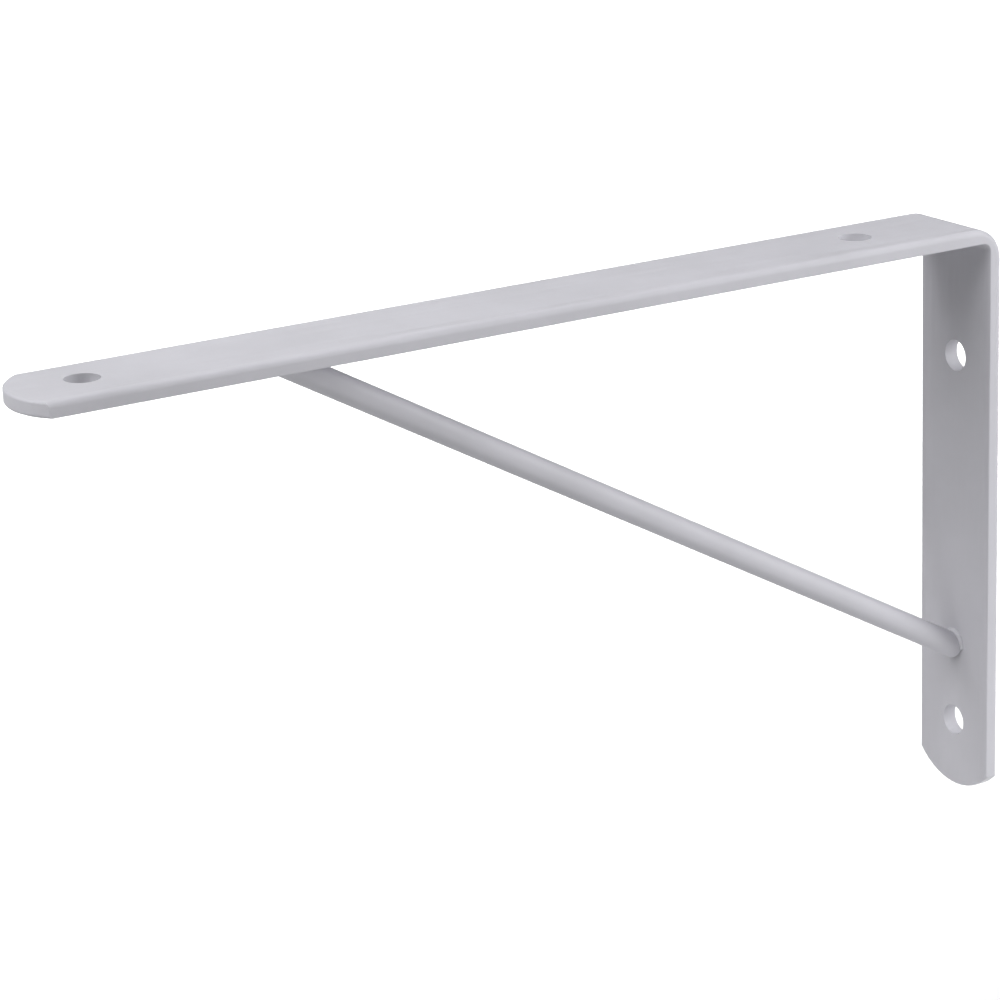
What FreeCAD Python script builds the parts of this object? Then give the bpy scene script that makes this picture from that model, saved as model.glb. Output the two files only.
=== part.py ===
import FreeCAD, Part
import math
import os

os.makedirs("parts", exist_ok=True)

# A gallows shelf bracket: a flat bar bent to a right angle and braced by a welded round rod.
# X runs across the bar, the arm reaches out along -Y and +Z is up.
# The wall face is the plane Y = 0 and the origin is midway between the two wall screw holes.

# The bent flat bar
BAR_WIDTH = 25.0
BAR_THICKNESS = 3.5
ARM_REACH = 240.0
LEG_DROP = 140.0
OUTER_EDGE_RADIUS = 1.5
INNER_EDGE_RADIUS = 0.3

# The bend, pressed sharp inside and drawn round outside, so that the bar is thinner there
OUTER_BEND_RADIUS = 7.5
INNER_BEND_RADIUS = 2.0

# The punched ends: an arc wider than the bar, so that it meets the sides at blunt corners
END_ARC_EXCESS = 4.5
END_EDGE_RADIUS = 0.7

# How far the arc on the arm's end sits to one side of the bar's middle
ARM_ARC_OFFSET = 1.8

# The screw holes, measured from the ends of the bar and from the outside of the bend
HOLE_DIAMETER = 7.5
HOLE_FROM_END = 16.5
HOLE_FROM_BEND = 32.5

# The brace rod, placed where its axis meets the inner faces of the bar
ROD_DIAMETER = 6.0
ROD_OUT_ALONG_ARM = 180.5
ROD_DOWN_ALONG_LEG = 104.5

# The weld beads round the rod's ends
BEAD_RADIUS = 0.9
BEAD_END_RADIUS = 0.4
BEAD_OVERHANG = 0.1

# How far a cutting tool stands clear of what it cuts, and how close two equal places come
CUT_MARGIN = 5.0
SAME_PLACE = 0.001

half_width = BAR_WIDTH / 2
end_radius = half_width + END_ARC_EXCESS
wall_hole_spacing = LEG_DROP - HOLE_FROM_END - HOLE_FROM_BEND
top_z = HOLE_FROM_BEND + wall_hole_spacing / 2
foot_z = top_z - LEG_DROP
underside_z = top_z - BAR_THICKNESS
inner_y = -BAR_THICKNESS

rod_top = FreeCAD.Vector(0, -ROD_OUT_ALONG_ARM, underside_z)
rod_foot = FreeCAD.Vector(0, inner_y, top_z - ROD_DOWN_ALONG_LEG)
rod_run = rod_foot - rod_top
rod_slope = math.atan2(-rod_run.z, rod_run.y)


def vector(x, y, z):
    return FreeCAD.Vector(x, y, z)


def only_solid(shape):
    """The one solid that a cut or a fuse leaves, without its wrapping."""
    return shape.Solids[0]


def bend_arc(centre_y, centre_z, radius):
    """Quarter circle in the outline of the bend, from its crest round to its wallward point."""
    slant = radius * math.sqrt(0.5)
    crest = vector(-half_width, centre_y, centre_z + radius)
    middle = vector(-half_width, centre_y + slant, centre_z + slant)
    wallward = vector(-half_width, centre_y + radius, centre_z)
    return Part.Arc(crest, middle, wallward).toShape()


def bent_flat():
    """The bar bent to its right angle, square along its edges and too long at both ends."""
    outer = bend_arc(-OUTER_BEND_RADIUS, top_z - OUTER_BEND_RADIUS, OUTER_BEND_RADIUS)
    inner = bend_arc(inner_y - INNER_BEND_RADIUS, underside_z - INNER_BEND_RADIUS, INNER_BEND_RADIUS)
    far_y = -(ARM_REACH + CUT_MARGIN)
    low_z = foot_z - CUT_MARGIN
    arm_end = Part.makePolygon([
        inner.Vertexes[0].Point,
        vector(-half_width, far_y, underside_z),
        vector(-half_width, far_y, top_z),
        outer.Vertexes[0].Point,
    ])
    leg_end = Part.makePolygon([
        outer.Vertexes[-1].Point,
        vector(-half_width, 0, low_z),
        vector(-half_width, inner_y, low_z),
        inner.Vertexes[-1].Point,
    ])
    outline = Part.Wire(arm_end.Edges + [outer] + leg_end.Edges + [inner])
    return Part.Face(outline).extrude(vector(BAR_WIDTH, 0, 0))


def long_edges(bar, bend_radius, arm_z, leg_y):
    """The edges along both sides of one of the bar's two faces, round the bend and along both straights."""
    found = []
    for edge in bar.Edges:
        point = edge.valueAt((edge.FirstParameter + edge.LastParameter) / 2)
        on_side = abs(abs(point.x) - half_width) < SAME_PLACE
        on_arm = abs(point.z - arm_z) < SAME_PLACE and point.y < leg_y - bend_radius
        on_leg = abs(point.y - leg_y) < SAME_PLACE and point.z < arm_z - bend_radius
        in_bend = isinstance(edge.Curve, Part.Circle) and abs(edge.Curve.Radius - bend_radius) < SAME_PLACE
        if on_side and (on_arm or on_leg or in_bend):
            found.append(edge)
    return found


def rolled_flat():
    """The bent bar with its long edges rolled soft outside and nearly sharp inside."""
    bar = bent_flat()
    bar = bar.makeFillet(OUTER_EDGE_RADIUS, long_edges(bar, OUTER_BEND_RADIUS, top_z, 0))
    return bar.makeFillet(INNER_EDGE_RADIUS, long_edges(bar, INNER_BEND_RADIUS, underside_z, inner_y))


def rounded_blank(length):
    """Flat plate with one round end, wider than the bar that it trims."""
    nose_y = length - end_radius
    left = vector(-end_radius, nose_y, 0)
    right = vector(end_radius, nose_y, 0)
    nose = Part.Arc(right, vector(0, length, 0), left).toShape()
    back_left = vector(-end_radius, 0, 0)
    back_right = vector(end_radius, 0, 0)
    sides = Part.makePolygon([left, back_left, back_right, right])
    outline = Part.Wire([nose] + sides.Edges)
    plate = Part.Face(outline).extrude(vector(0, 0, BAR_THICKNESS))
    rims = [edge for edge in plate.Edges if isinstance(edge.Curve, Part.Circle)]
    return plate.makeFillet(END_EDGE_RADIUS, rims)


def screw_hole(centre, direction):
    start = centre - direction * CUT_MARGIN
    return Part.makeCylinder(HOLE_DIAMETER / 2, BAR_THICKNESS + 2 * CUT_MARGIN, start, direction)


def arm_blank():
    blank = rounded_blank(ARM_REACH)
    blank.rotate(vector(0, 0, 0), vector(0, 0, 1), 180)
    blank.translate(vector(ARM_ARC_OFFSET, 0, underside_z))
    return blank


def leg_blank():
    blank = rounded_blank(LEG_DROP)
    blank.rotate(vector(0, 0, 0), vector(1, 0, 0), -90)
    blank.translate(vector(0, inner_y, top_z))
    return blank


def bend_blank():
    corner = vector(-end_radius, -OUTER_BEND_RADIUS, top_z - OUTER_BEND_RADIUS)
    return Part.makeBox(2 * end_radius, OUTER_BEND_RADIUS, OUTER_BEND_RADIUS, corner)


def angle_bar():
    """The bent bar trimmed to its two round ends and punched."""
    bar = rolled_flat().common(arm_blank().fuse([leg_blank(), bend_blank()]))
    for reach in (HOLE_FROM_BEND, ARM_REACH - HOLE_FROM_END):
        bar = bar.cut(screw_hole(vector(0, -reach, underside_z), vector(0, 0, 1)))
    for drop in (HOLE_FROM_BEND, LEG_DROP - HOLE_FROM_END):
        bar = bar.cut(screw_hole(vector(0, inner_y, top_z - drop), vector(0, 1, 0)))
    return only_solid(bar.removeSplitter())


def strut_rod():
    """Round rod cut square, the upper half of each end pressed flat on the bar's inner face."""
    rod = Part.makeCylinder(ROD_DIAMETER / 2, rod_run.Length, rod_top, rod_run)
    corner = vector(-ROD_DIAMETER, -ARM_REACH, foot_z)
    inside = Part.makeBox(2 * ROD_DIAMETER, ARM_REACH + inner_y, underside_z - foot_z, corner)
    return only_solid(rod.common(inside))


def bead_section(path, parameter, radius):
    """Round section of a bead, square to its path."""
    return Part.Wire(Part.makeCircle(radius, path.valueAt(parameter), path.tangentAt(parameter)))


def weld_bead(centre, toward, reach, bar, rod):
    """Bead along the half ellipse where the rod's upper side meets the bar, thin at both ends."""
    tip = centre + toward * (reach + BEAD_OVERHANG)
    side = centre + vector(ROD_DIAMETER / 2 + BEAD_OVERHANG, 0, 0)
    ellipse = Part.Ellipse(tip, side, centre)
    first_half = ellipse.toShape(-math.pi / 2, 0)
    second_half = ellipse.toShape(0, math.pi / 2)
    sections = [
        bead_section(first_half, first_half.FirstParameter, BEAD_END_RADIUS),
        bead_section(first_half, first_half.LastParameter, BEAD_RADIUS),
        bead_section(second_half, second_half.LastParameter, BEAD_END_RADIUS),
    ]
    bead = Part.Wire([first_half, second_half]).makePipeShell(sections, True, True)
    return only_solid(bead.cut(bar).cut(rod))


def export(shape, node):
    shape.exportStep("parts/%s.step" % node)


bar = angle_bar()
rod = strut_rod()

# The faces cut the rod on the slant, so the half ellipses are longer than the rod is thick
rod_radius = ROD_DIAMETER / 2
arm_weld = weld_bead(rod_top, vector(0, 1, 0), rod_radius / math.sin(rod_slope), bar, rod)
wall_weld = weld_bead(rod_foot, vector(0, 0, 1), rod_radius / math.cos(rod_slope), bar, rod)

export(bar, "angle_bar")
export(rod, "strut_rod")
export(arm_weld, "arm_weld")
export(wall_weld, "wall_weld")
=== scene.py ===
import math
import bpy
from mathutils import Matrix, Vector

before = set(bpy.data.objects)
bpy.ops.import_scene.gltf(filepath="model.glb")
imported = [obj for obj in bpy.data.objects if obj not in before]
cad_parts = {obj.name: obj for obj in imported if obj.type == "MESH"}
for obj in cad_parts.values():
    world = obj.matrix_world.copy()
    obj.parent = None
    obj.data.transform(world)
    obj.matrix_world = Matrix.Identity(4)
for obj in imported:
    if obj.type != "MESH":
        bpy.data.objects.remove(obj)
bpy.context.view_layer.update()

# The camera: its place in metres in the bracket's own frame, and its turns about X, Y and Z in degrees
CAMERA_PLACE = (0.588567, -0.476820, 0.248516)
CAMERA_TURNS = (72.5949, 2.0554, 58.7300)
LENS_MM = 119.40
SENSOR_MM = 36.0
NEAREST_SEEN = 0.01
FARTHEST_SEEN = 200.0

# The pale floor, far below the bracket
FLOOR_DEPTH = 1.0
FLOOR_SIZE = 60.0
FLOOR_GREY = 0.93

# The faint light all round, and how pale the same sky looks past the floor's end
SKY_STRENGTH = 0.02
BACKDROP_STRENGTH = 0.85

# The broad key light, its softness in degrees
KEY_FROM = (0.0, -1.0, 1.0)
KEY_STRENGTH = 1.89
KEY_SOFTNESS = 60.0

# The softboxes, in metres, with the cones in degrees of those that light one place only
BOX_SIZE = 0.5
STRUT_BOX_SIZE = 0.2
END_BOX_SIZE = 0.06
FLOOR_BOX_SIZE = 7.0
OPEN_CONE = 180.0
END_CONE = 30.0
FLOOR_CONE = 95.0
FLOOR_LIGHT_X = -5.2
FLOOR_LIGHT_Y = 3.2
FLOOR_LIGHT_Z = 1.5

# The powder coat: a pale silver grey with a cool tint
COAT_PALE = (0.502, 0.498, 0.536, 1.0)
COAT_DEEP = (0.468, 0.465, 0.499, 1.0)
COAT_ROUGHNESS = (0.44, 0.54)
COAT_SPECULAR = 0.3

# The noises in the coat, each as its scale per metre, its detail and its roughness
CLOUD_NOISE = (38.0, 3.0, 0.6)
SHEEN_NOISE = (90.0, 2.0, 0.5)
WAVE_NOISE = (300.0, 1.0, 0.5)
PEEL_NOISE = (520.0, 1.0, 0.4)
GRAIN_NOISE = (2600.0, 1.0, 0.4)

# Most of a noise lies between these two values
NOISE_LOW = 0.3
NOISE_HIGH = 0.7

# How high the coat's slow waves, its orange peel and its fine grain stand, in metres
WAVE_HEIGHT = 0.0008
PEEL_HEIGHT = 0.00002
GRAIN_HEIGHT = 0.000004

# The waves are drawn out lengthwise, faint in the bar's middle and full towards its long edges
WAVE_STRETCH = 0.1
WAVE_INNER = 0.007
WAVE_OUTER = 0.0115
WAVE_FAINT = 0.3


def link(tree, source, output, target, entry):
    tree.links.new(source.outputs[output], target.inputs[entry])


def noise(tree, source, output, settings):
    scale, detail, roughness = settings
    node = tree.nodes.new("ShaderNodeTexNoise")
    node.inputs["Scale"].default_value = scale
    node.inputs["Detail"].default_value = detail
    node.inputs["Roughness"].default_value = roughness
    link(tree, source, output, node, "Vector")
    return node


def value_range(tree, source, output, low, high, to_low, to_high):
    node = tree.nodes.new("ShaderNodeMapRange")
    node.inputs["From Min"].default_value = low
    node.inputs["From Max"].default_value = high
    node.inputs["To Min"].default_value = to_low
    node.inputs["To Max"].default_value = to_high
    link(tree, source, output, node, "Value")
    return node


def math_node(tree, operation):
    node = tree.nodes.new("ShaderNodeMath")
    node.operation = operation
    return node


def edge_waves(tree, coordinates):
    """Slow lengthwise waves of the coat, as heights that grow towards the bar's two long edges."""
    stretch = tree.nodes.new("ShaderNodeMapping")
    stretch.inputs["Scale"].default_value = (1.0, WAVE_STRETCH, WAVE_STRETCH)
    link(tree, coordinates, "Object", stretch, "Vector")
    waves = noise(tree, stretch, "Vector", WAVE_NOISE)
    centred = value_range(tree, waves, "Fac", 0.0, 1.0, -0.5, 0.5)

    across = tree.nodes.new("ShaderNodeSeparateXYZ")
    link(tree, coordinates, "Object", across, "Vector")
    distance = math_node(tree, "ABSOLUTE")
    link(tree, across, "X", distance, 0)
    nearness = value_range(tree, distance, "Value", WAVE_INNER, WAVE_OUTER, WAVE_FAINT, 1.0)

    height = math_node(tree, "MULTIPLY")
    link(tree, centred, "Result", height, 0)
    link(tree, nearness, "Result", height, 1)
    return height


def bump(tree, source, output, height):
    node = tree.nodes.new("ShaderNodeBump")
    node.inputs["Distance"].default_value = height
    link(tree, source, output, node, "Height")
    return node


def coat_relief(tree, coordinates, shader):
    """The coat's waves, with its orange peel over them and its fine grain over both."""
    waves = bump(tree, edge_waves(tree, coordinates), "Value", WAVE_HEIGHT)
    peel = bump(tree, noise(tree, coordinates, "Object", PEEL_NOISE), "Fac", PEEL_HEIGHT)
    grain = bump(tree, noise(tree, coordinates, "Object", GRAIN_NOISE), "Fac", GRAIN_HEIGHT)
    link(tree, waves, "Normal", peel, "Normal")
    link(tree, peel, "Normal", grain, "Normal")
    link(tree, grain, "Normal", shader, "Normal")


def coat_colour(tree, coordinates, shader):
    """A slight clouding between the coat's paler and deeper grey."""
    cloud = noise(tree, coordinates, "Object", CLOUD_NOISE)
    colours = tree.nodes.new("ShaderNodeValToRGB")
    deep, pale = colours.color_ramp.elements
    deep.position = NOISE_LOW
    deep.color = COAT_DEEP
    pale.position = NOISE_HIGH
    pale.color = COAT_PALE
    link(tree, cloud, "Fac", colours, "Fac")
    link(tree, colours, "Color", shader, "Base Color")


def coat_sheen(tree, coordinates, shader):
    """A satin gloss that varies slowly from place to place."""
    cloud = noise(tree, coordinates, "Object", SHEEN_NOISE)
    gloss = value_range(tree, cloud, "Fac", NOISE_LOW, NOISE_HIGH, *COAT_ROUGHNESS)
    link(tree, gloss, "Result", shader, "Roughness")


def powder_coat():
    """Pale silver-grey powder coat."""
    material = bpy.data.materials.new("powder_coat")
    material.use_nodes = True
    tree = material.node_tree
    shader = tree.nodes["Principled BSDF"]
    shader.inputs["Metallic"].default_value = 0.0
    shader.inputs["Specular IOR Level"].default_value = COAT_SPECULAR
    coordinates = tree.nodes.new("ShaderNodeTexCoord")
    coat_colour(tree, coordinates, shader)
    coat_sheen(tree, coordinates, shader)
    coat_relief(tree, coordinates, shader)
    return material


def floor_finish():
    """Pale and quite matt."""
    material = bpy.data.materials.new("pale_floor")
    material.use_nodes = True
    shader = material.node_tree.nodes["Principled BSDF"]
    shader.inputs["Base Color"].default_value = (FLOOR_GREY, FLOOR_GREY, FLOOR_GREY, 1.0)
    shader.inputs["Roughness"].default_value = 1.0
    shader.inputs["Specular IOR Level"].default_value = 0.0
    return material


def pale_floor():
    bpy.ops.mesh.primitive_plane_add(size=FLOOR_SIZE, location=(0.0, 0.0, -FLOOR_DEPTH))
    floor = bpy.context.object
    floor.name = "floor"
    floor.data.materials.append(floor_finish())


def white_background(tree, strength):
    node = tree.nodes.new("ShaderNodeBackground")
    node.inputs["Color"].default_value = (1.0, 1.0, 1.0, 1.0)
    node.inputs["Strength"].default_value = strength
    return node


def sky():
    """A faint even light all round, with a pale backdrop wherever the floor ends."""
    world = bpy.data.worlds.new("studio")
    world.use_nodes = True
    tree = world.node_tree
    tree.nodes.clear()
    rays = tree.nodes.new("ShaderNodeLightPath")
    choice = tree.nodes.new("ShaderNodeMixShader")
    output = tree.nodes.new("ShaderNodeOutputWorld")
    link(tree, rays, "Is Camera Ray", choice, "Fac")
    link(tree, white_background(tree, SKY_STRENGTH), "Background", choice, 1)
    link(tree, white_background(tree, BACKDROP_STRENGTH), "Background", choice, 2)
    link(tree, choice, "Shader", output, "Surface")
    bpy.context.scene.world = world


def hang(name, light, place, target):
    """Hangs a light at a place, turned to face a point."""
    item = bpy.data.objects.new(name, light)
    bpy.context.scene.collection.objects.link(item)
    item.location = place
    direction = Vector(target) - Vector(place)
    item.rotation_mode = "QUATERNION"
    item.rotation_quaternion = direction.to_track_quat("-Z", "Y")
    return item


def sun(name, towards, strength, softness):
    """A far soft light that shines from a direction."""
    light = bpy.data.lights.new(name, "SUN")
    light.energy = strength
    light.angle = math.radians(softness)
    hang(name, light, towards, (0.0, 0.0, 0.0))


def softbox(name, place, target, size, watts, cone=OPEN_CONE):
    """A square softbox that stays out of the picture."""
    light = bpy.data.lights.new(name, "AREA")
    light.shape = "SQUARE"
    light.size = size
    light.energy = watts
    light.spread = math.radians(cone)
    hang(name, light, place, target).visible_camera = False


def bar_lights():
    """The softboxes that shape the bent bar from behind, from over its top and from past the wall."""
    softbox("back_light", (-0.6, 0.5, -0.4), (0.0, -0.1, 0.0), BOX_SIZE, watts=1.6)
    softbox("far_light", (-0.35, -0.08, 0.4), (0.0, -0.1, 0.078), BOX_SIZE, watts=0.61)
    softbox("tip_light", (0.0, -0.35, 0.55), (0.0, -0.22, 0.07), BOX_SIZE, watts=1.83)
    softbox("wall_light", (0.4, 0.4, 0.35), (0.0, -0.05, 0.0), BOX_SIZE, watts=3.28)
    softbox("low_wall_light", (0.45, 0.5, 0.1), (0.0, 0.0, 0.0), BOX_SIZE, watts=1.45)


def small_lights():
    """The softboxes that lift the rod, the arm's end and the leg's foot."""
    softbox("strut_light", (0.25, 0.0, -0.15), (0.0, -0.06, 0.0), STRUT_BOX_SIZE, watts=0.3)
    softbox("nose_light", (0.03, -0.4, 0.03), (0.0, -0.24, 0.076), END_BOX_SIZE, watts=0.0025, cone=END_CONE)
    softbox("foot_light", (0.05, -0.12, -0.14), (0.0, 0.0, -0.052), END_BOX_SIZE, watts=0.0023, cone=END_CONE)


def floor_light():
    """A wide softbox over the floor behind the bracket, whose cone passes the bracket by."""
    place = (FLOOR_LIGHT_X, FLOOR_LIGHT_Y, FLOOR_LIGHT_Z)
    below = (FLOOR_LIGHT_X, FLOOR_LIGHT_Y, -FLOOR_DEPTH)
    softbox("floor_light", place, below, FLOOR_BOX_SIZE, watts=270.0, cone=FLOOR_CONE)


def studio():
    pale_floor()
    sky()
    sun("key_light", KEY_FROM, KEY_STRENGTH, KEY_SOFTNESS)
    bar_lights()
    small_lights()
    floor_light()


def camera():
    lens = bpy.data.cameras.new("camera")
    lens.lens = LENS_MM
    lens.sensor_width = SENSOR_MM
    lens.clip_start = NEAREST_SEEN
    lens.clip_end = FARTHEST_SEEN
    item = bpy.data.objects.new("camera", lens)
    bpy.context.scene.collection.objects.link(item)
    item.location = CAMERA_PLACE
    item.rotation_euler = [math.radians(turn) for turn in CAMERA_TURNS]
    bpy.context.scene.camera = item


def dress(material):
    """Gives each node of the frame the finish."""
    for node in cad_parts.values():
        node.data.materials.clear()
        node.data.materials.append(material)


dress(powder_coat())
studio()
camera()
bpy.context.scene.view_settings.view_transform = "Standard"
